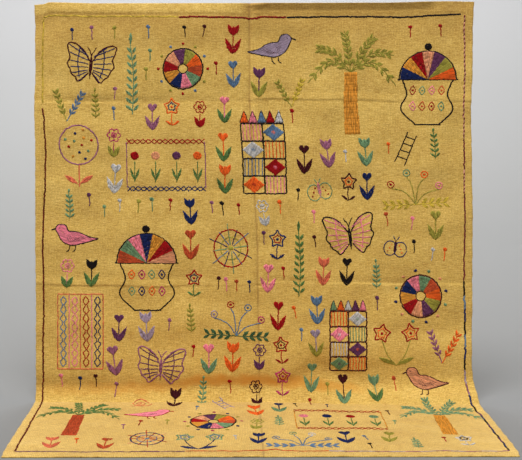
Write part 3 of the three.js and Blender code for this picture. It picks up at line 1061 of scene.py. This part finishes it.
def sew_flowers(taken):
    for number, (x, along) in enumerate(open_places(taken, 0.011, (0.086, 0.118), (0.146, 0.176))):
        colour = FLOWER_COLOURS[(number * 7 + number // 9) % len(FLOWER_COLOURS)]
        leaves = colour if rng.random() < 0.75 else str(rng.choice(LEAF_COLOURS))
        spot = Spot(x, along, 0.132 * rng.uniform(0.92, 1.06), rng.normal(0, 3))
        kind = FLOWER_KINDS[number * 5 % len(FLOWER_KINDS)]
        if kind is sprig:
            sprig(spot, str(rng.choice(LEAF_COLOURS)), 5)
        elif kind is star:
            star(spot, colour, FLOWER_COLOURS[(number * 3) % len(FLOWER_COLOURS)], leaves)
        elif kind is rosette:
            rosette(spot, colour, leaves)
        else:
            kind(spot, colour, leaves)


def sew_pins(taken):
    for number, (x, along) in enumerate(open_places(taken, 0.009, (0.042, 0.105), (0.082, 0.125))):
        colour = PIN_COLOURS[(number * 3 + number // 7) % len(PIN_COLOURS)]
        pin(Spot(x, along, 0.060 * rng.uniform(0.9, 1.1), rng.normal(0, 5)), colour)


# Border threads that are thinner than the rest, by their first colour
THIN_BORDERS = {"yellow": 0.62, "chestnut": 0.85, "wine": 0.72, "dusty_pink": 0.72}


def sew_border():
    """The border thread, which changes colour from stretch to stretch."""
    def wavy(points, seed):
        path = curve(points, 60)
        t = np.arange(len(path))
        offset = waves(t, ((0.0010, 0.9, seed), (0.0007, 2.3, seed * 3)))
        run = np.gradient(path, axis=0)
        normal = np.stack([-run[:, 1], run[:, 0]], axis=1) / np.linalg.norm(run, axis=1)[:, None]
        return path + normal * offset[:, None]

    low = CLOTH_LENGTH - 0.058
    stretches = (
        ([(-0.960, 0.060), (-0.6, 0.060), (-0.328, 0.062)], ["yellow"]),
        ([(-0.328, 0.063), (-0.05, 0.066), (0.01, 0.072), (0.06, 0.064), (0.165, 0.066)], ["dark_red"]),
        ([(0.165, 0.066), (0.40, 0.063), (0.62, 0.065), (0.70, 0.067), (0.945, 0.059)], ["black"]),
        ([(0.961, 0.062), (0.967, 0.5), (0.966, 0.62)], ["wine", "dusty_pink"]),
        ([(0.966, 0.62), (0.965, 0.76)], ["wine"]),
        ([(0.965, 0.76), (0.964, 0.87)], ["dusty_pink", "wine"]),
        ([(0.964, 0.87), (0.963, 1.07), (0.961, 1.27)], ["wine"]),
        ([(0.961, 1.27), (0.969, 1.54), (0.965, 1.68)], ["black", "steel", "navy"]),
        ([(0.965, 1.68), (0.963, 1.80)], ["lavender", "mauve"]),
        ([(0.963, 1.80), (0.964, 2.1), (0.967, low)], ["navy", "black", "purple"]),
        ([(-0.960, 0.065), (-0.966, 0.27), (-0.961, 0.46)], ["yellow"]),
        ([(-0.961, 0.48), (-0.954, 0.56), (-0.955, 0.84), (-0.963, 0.98), (-0.967, 1.63), (-0.968, 1.86),
          (-0.957, low)], ["chestnut"]),
        ([(-0.957, low), (-0.6, low + 0.004), (-0.30, low)], ["purple"]),
        ([(-0.30, low), (0.0, low - 0.004), (0.05, low - 0.02), (0.10, low - 0.004), (0.26, low)],
         ["rust"]),
        ([(0.26, low), (0.6, low + 0.004), (0.967, low)], ["lavender", "mauve"]),
    )
    for number, (points, colours) in enumerate(stretches):
        width = BORDER_WIDTH * THIN_BORDERS.get(colours[0], 1)
        run = LINE_STEP if "dusty_pink" in colours else COLOUR_RUN
        sew_line(wavy(points, number), colours, width, run=run)


def hem_stitches():
    """Small slanting stitches of the cloth's own yarn that hold the turned edges."""
    step, length, width, height = HEM_STITCH.values()
    rows = []
    inset = HEM["side"] - 0.002
    for along in np.arange(0.06, CLOTH_LENGTH - 0.05, step):
        for side in (-1, 1):
            x = side * (CLOTH_WIDTH / 2 - inset) + rng.normal(0, 0.0006)
            rows.append((x, along, x + side * 0.002, along + length, width, height))
    for x in np.arange(-0.96, 0.96, step):
        for along, slant in ((HEM["top"] - 0.003, 0.003), (CLOTH_LENGTH - HEM["front"] + 0.003, -0.003)):
            rows.append((x, along, x + length, along + slant, width, height))
    return rows


# Materials

class Nodes:
    """A new material and its nodes. Most methods add a node and return its output."""

    def __init__(self, name, roughness):
        self.material = bpy.data.materials.new(name)
        self.material.use_nodes = True
        self.tree = self.material.node_tree
        self.shader = self.tree.nodes["Principled BSDF"]
        self.set("Roughness", roughness)

    def feed(self, socket, value):
        if isinstance(value, bpy.types.NodeSocket):
            self.tree.links.new(value, socket)
        else:
            socket.default_value = value

    def set(self, name, value):
        self.feed(self.shader.inputs[name], value)

    def node(self, kind, **inputs):
        node = self.tree.nodes.new(kind)
        for name, value in inputs.items():
            self.feed(node.inputs[name], value)
        return node

    def math(self, operation, first, second=0.0, clamp=False):
        node = self.node("ShaderNodeMath")
        node.operation, node.use_clamp = operation, clamp
        self.feed(node.inputs[0], first)
        self.feed(node.inputs[1], second)
        return node.outputs[0]

    def plus(self, first, second):
        return self.math("ADD", first, second)

    def minus(self, first, second, clamp=False):
        return self.math("SUBTRACT", first, second, clamp)

    def times(self, first, second, clamp=False):
        return self.math("MULTIPLY", first, second, clamp)

    def share_of(self, value, whole):
        return self.math("DIVIDE", value, whole, clamp=True)

    def distance(self, value):
        return self.math("ABSOLUTE", value)

    def ramp(self, source, places, colours):
        node = self.node("ShaderNodeValToRGB", Fac=source)
        elements = node.color_ramp.elements
        while len(elements) < len(places):
            elements.new(0.5)
        for element, position, colour in zip(elements, places, colours):
            element.position, element.color = position, colour
        return node.outputs["Color"]

    def blend(self, share, first, second, kind="MIX"):
        node = self.node("ShaderNodeMix")
        node.data_type, node.blend_type = "RGBA", kind
        for socket, value in (("Factor", share), (6, first), (7, second)):
            self.feed(node.inputs[socket], value)
        return node.outputs[2]

    def flat_place(self):
        """Flat cloth coordinates: x across, and y down the cloth."""
        uv = self.node("ShaderNodeUVMap")
        uv.uv_map = "flat"
        return uv.outputs["UV"]

    def noise(self, across, down, scale, detail=3.0):
        """Noise over the flat cloth, stretched across or down it."""
        mapping = self.node("ShaderNodeMapping", Scale=(across, down, 1), Vector=self.flat_place())
        vector = mapping.outputs["Vector"]
        return self.node("ShaderNodeTexNoise", Scale=scale, Detail=detail, Vector=vector).outputs["Fac"]

    def bump(self, height, strength, distance):
        bump = self.node("ShaderNodeBump", Strength=strength, Distance=distance, Height=height)
        self.set("Normal", bump.outputs["Normal"])


# The weave, in distances across and down
WEAVE_PITCH = (0.0068, 0.0056)
CLOTH_SHADES = [linear((178, 134, 52)), linear((212, 173, 77)), linear((242, 206, 114))]
GAP_COLOUR = linear((137, 98, 35))
STAIN_COLOUR = linear((200, 134, 32))
HEM_THREAD = (190, 150, 70)
# Painted shade: the cloth is darker and browner towards its top edge, but for its padded hem.
TOP_PAINTED_SHADE = {"depth": 0.30, "colour": linear((228, 218, 203))}
PADDED_HEM = {"ends_down": 0.038, "fade_down": 0.014, "ends_x": -0.05, "fade_x": 0.04}
# Painted shade along the fold down the middle, in the colour of the weave's gaps
FOLD_SHADE = {"reach": 0.007, "share": 1.1}
# The orange water mark above the bend: x, distance down the cloth, strength
STAIN = (
    (-0.96, 1.765, 0.20),
    (-0.66, 1.757, 0.55),
    (-0.38, 1.752, 0.60),
    (-0.28, 1.722, 0.95),
    (0.04, 1.724, 1.00),
    (0.28, 1.744, 0.85),
    (0.42, 1.760, 0.60),
    (0.52, 1.766, 0.00),
)
STAIN_REACH = 0.031
STAIN_WANDER = 0.05


def weave_cells(nodes, axes):
    """Plain weave: 1 on the crossings and 0 in the gaps between them, a little irregular."""
    cells = []
    for number, (axis, pitch) in enumerate(zip(axes, WEAVE_PITCH)):
        wander = nodes.noise(9.0 + 5 * number, 13.0, 1.0, 2.0)
        turns = nodes.plus(nodes.math("DIVIDE", axis, pitch), nodes.times(wander, 2.5))
        wave = nodes.distance(nodes.math("SINE", nodes.times(turns, math.pi)))
        cells.append(nodes.math("POWER", wave, 0.6))
    return nodes.times(*cells)


def aged_top(nodes, x, along):
    """How much painted shade darkens and browns the cloth towards its top edge."""
    below_hem = nodes.share_of(nodes.minus(along, PADDED_HEM["ends_down"]), PADDED_HEM["fade_down"])
    on_right = nodes.share_of(nodes.plus(x, -PADDED_HEM["ends_x"]), PADDED_HEM["fade_x"])
    near = nodes.minus(1.0, nodes.share_of(along, TOP_PAINTED_SHADE["depth"]))
    return nodes.times(nodes.math("MAXIMUM", below_hem, on_right), near)


def stain_band(nodes, x, along):
    """The water mark's strength, with a wandering edge and patches."""
    share = nodes.times(nodes.plus(x, 1.0), 0.5)

    def by_x(column, low, high):
        greys = [3 * ((row[column] - low) / (high - low),) + (1.0,) for row in STAIN]
        level = nodes.ramp(share, [(1.0 + row[0]) / 2 for row in STAIN], greys)
        return nodes.plus(nodes.times(level, high - low), low)

    wander = nodes.times(nodes.minus(nodes.noise(9.0, 6.0, 2.0), 0.5), STAIN_WANDER)
    off = nodes.distance(nodes.minus(nodes.plus(along, wander), by_x(1, 1.70, 1.80)))
    off = nodes.share_of(off, STAIN_REACH)
    band = nodes.minus(1.0, nodes.times(off, off), clamp=True)
    patchy = nodes.plus(0.35, nodes.noise(7.0, 9.0, 2.0))
    return nodes.times(band, nodes.times(patchy, by_x(2, 0.0, 1.0), clamp=True))


def cloth_material():
    nodes = Nodes("mustard_weave", 0.88)
    split = nodes.node("ShaderNodeSeparateXYZ", Vector=nodes.flat_place())
    x, along = split.outputs["X"], split.outputs["Y"]
    slubs, grain = nodes.noise(34.0, 270.0, 1.0, 2.0), nodes.noise(140.0, 310.0, 1.0, 1.0)
    speckle = nodes.plus(nodes.times(slubs, 0.5), nodes.times(grain, 0.5))
    mottle = nodes.ramp(nodes.noise(3.0, 6.0, 1.6, 5.0), (0.32, 0.52, 0.70), CLOTH_SHADES)
    colour = nodes.blend(0.25, nodes.ramp(speckle, (0.38, 0.49, 0.60), CLOTH_SHADES), mottle)
    cells = weave_cells(nodes, (x, along))
    worn = nodes.plus(0.10, nodes.noise(40.0, 60.0, 1.0, 2.0))
    open_gap = nodes.times(nodes.minus(0.85, cells, clamp=True), worn, clamp=True)
    colour = nodes.blend(open_gap, colour, GAP_COLOUR)
    # Painted shade in the fold down the middle
    in_fold = nodes.minus(1.0, nodes.share_of(nodes.distance(x), FOLD_SHADE["reach"]))
    fold_shade = nodes.times(nodes.times(in_fold, nodes.noise(3.0, 14.0, 1.0)), FOLD_SHADE["share"])
    colour = nodes.blend(fold_shade, colour, GAP_COLOUR)
    colour = nodes.blend(stain_band(nodes, x, along), colour, STAIN_COLOUR)
    # Painted shade, darker and browner towards the top edge
    colour = nodes.blend(aged_top(nodes, x, along), colour, TOP_PAINTED_SHADE["colour"], "MULTIPLY")
    nodes.set("Base Color", colour)
    nodes.set("Sheen Weight", 0.25)
    nodes.set("Sheen Roughness", 0.5)
    nodes.bump(nodes.plus(cells, nodes.times(speckle, 2.0)), 0.6, 0.0009)
    return nodes.material


def thread_material(name, colour):
    """Thread that is deeper or paler from stitch to stitch, with fine fibres."""
    nodes = Nodes(f"thread_{name}", 0.75)
    nodes.set("Specular IOR Level", 0.15)
    tone = nodes.node("ShaderNodeAttribute")
    tone.attribute_name = "tone"
    rich = linear(colour)
    deep, pale = (tuple(min(1.0, v * change) for v in rich[:3]) + (1.0,) for change in (0.58, 1.18))
    nodes.set("Base Color", nodes.ramp(tone.outputs["Fac"], (0.0, 0.6, 1.0), (deep, rich, pale)))
    place_on = nodes.node("ShaderNodeTexCoord").outputs["Object"]
    fibre = nodes.node("ShaderNodeTexNoise", Scale=900.0, Detail=2.0, Vector=place_on)
    nodes.bump(fibre.outputs["Fac"], 0.35, 0.0004)
    return nodes.material


# The stage, the lights and the camera

# Greys of the paper by share of the way from in front of the rug to the sweep's top, with painted light
# and shade: dark near the rug, paler towards the top, and pale again in front of the rug
PAPER_PLACES = (0.0, 0.04, 0.12, 0.30, 0.55, 0.82, 1.0)
PAPER_PAINTED_LIGHT = [linear(grey) for grey in (
    (155, 155, 154), (120, 120, 119), (124, 124, 123), (132, 132, 131), (146, 146, 145), (165, 165, 165),
    (182, 182, 183))]
SWEEP = {"front": -16.0, "flat_end": 5.5, "radius": 3.0, "top": 9.0, "half": 16.0, "below_floor": 0.0006}


def make_stage():
    """A seamless sweep of grey paper, with painted light that makes it paler towards its top, well
    behind the rug.
    """
    flat_end, radius, half = SWEEP["flat_end"], SWEEP["radius"], SWEEP["half"]
    profile = [(SWEEP["front"], 0.0), (flat_end, 0.0)]
    for t in np.linspace(0.08, math.pi / 2, 20):
        profile.append((flat_end + radius * math.sin(t), radius - radius * math.cos(t)))
    profile.append((flat_end + radius, SWEEP["top"]))
    points = [(x, y, z - SWEEP["below_floor"]) for y, z in profile for x in (-half, half)]
    faces = [(2 * i, 2 * i + 1, 2 * i + 3, 2 * i + 2) for i in range(len(profile) - 1)]
    sweep = make_mesh("studio_sweep", np.array(points), np.array(faces))
    nodes = Nodes("studio_paper", 0.9)
    place_on = nodes.node("ShaderNodeTexCoord").outputs["Object"]
    split = nodes.node("ShaderNodeSeparateXYZ", Vector=place_on)
    back = nodes.plus(split.outputs["Y"], nodes.times(split.outputs["Z"], 2.0))
    back = nodes.share_of(nodes.plus(back, 1.0), 15.0)
    # Painted light and shade: the paper is darker low down and paler towards its top
    nodes.set("Base Color", nodes.ramp(back, PAPER_PLACES, PAPER_PAINTED_LIGHT))
    sweep.data.materials.append(nodes.material)


def add_area_light(name, place_at, target, size, power):
    light = bpy.data.lights.new(name, "AREA")
    light.shape = "RECTANGLE"
    light.size, light.size_y = size
    light.energy = power
    obj = bpy.data.objects.new(name, light)
    obj.location = place_at
    direction = Vector(target) - Vector(place_at)
    obj.rotation_euler = direction.to_track_quat("-Z", "Y").to_euler()
    bpy.context.scene.collection.objects.link(obj)


def make_lights():
    add_area_light("soft_top", (-1.5, -5.4, 13.8), (0, 0.3, 0.8), (9.0, 6.0), 2520)
    add_area_light("soft_front", (-1.5, -7.0, 1.6), (0, 0.3, 0.5), (4.0, 3.0), 50)
    add_area_light("floor_wash", (0.0, 3.6, 6.5), (0, 3.2, 0.0), (7.0, 3.0), 180)
    add_area_light("backdrop_wash", (0.0, 5.0, 8.0), (0, 8.5, 1.6), (8.0, 2.0), 420)
    world = bpy.data.worlds.new("studio")
    world.use_nodes = True
    background = world.node_tree.nodes["Background"]
    background.inputs["Color"].default_value = (1, 1, 1, 1)
    background.inputs["Strength"].default_value = 0.26
    bpy.context.scene.world = world


def make_camera():
    camera = bpy.data.cameras.new("camera")
    camera.sensor_width = SENSOR
    camera.lens = FOCAL_PIXELS / PHOTO_SIZE[0] * SENSOR
    camera.shift_x = (PHOTO_SIZE[0] / 2 - EYE_PIXEL[0]) / PHOTO_SIZE[0]
    camera.shift_y = -(PHOTO_SIZE[1] / 2 - EYE_PIXEL[1]) / PHOTO_SIZE[0]
    obj = bpy.data.objects.new("camera", camera)
    obj.location = (CAMERA_SIDE + SHIFT_X, HANG_PLANE_Y - CAMERA_DISTANCE, CAMERA_HEIGHT)
    obj.rotation_euler = (math.pi / 2, 0, 0)
    bpy.context.scene.collection.objects.link(obj)
    bpy.context.scene.camera = obj


def make_rug():
    cloth = make_cloth()
    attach(cloth, "root")
    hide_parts(NODE)
    sew_border()
    sew_motifs()
    threads = []
    for name, rows in STITCHES.items():
        if rows:
            threads.append(make_stitches(f"thread_{name}", rows, thread_material(name, COLOURS[name])))
    threads.append(make_stitches("hem_stitches", hem_stitches(), thread_material("ground", HEM_THREAD)))
    for thread in threads:
        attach(thread, "root")


make_camera()
make_rug()
make_stage()
make_lights()
bpy.context.scene.view_settings.view_transform = "Standard"
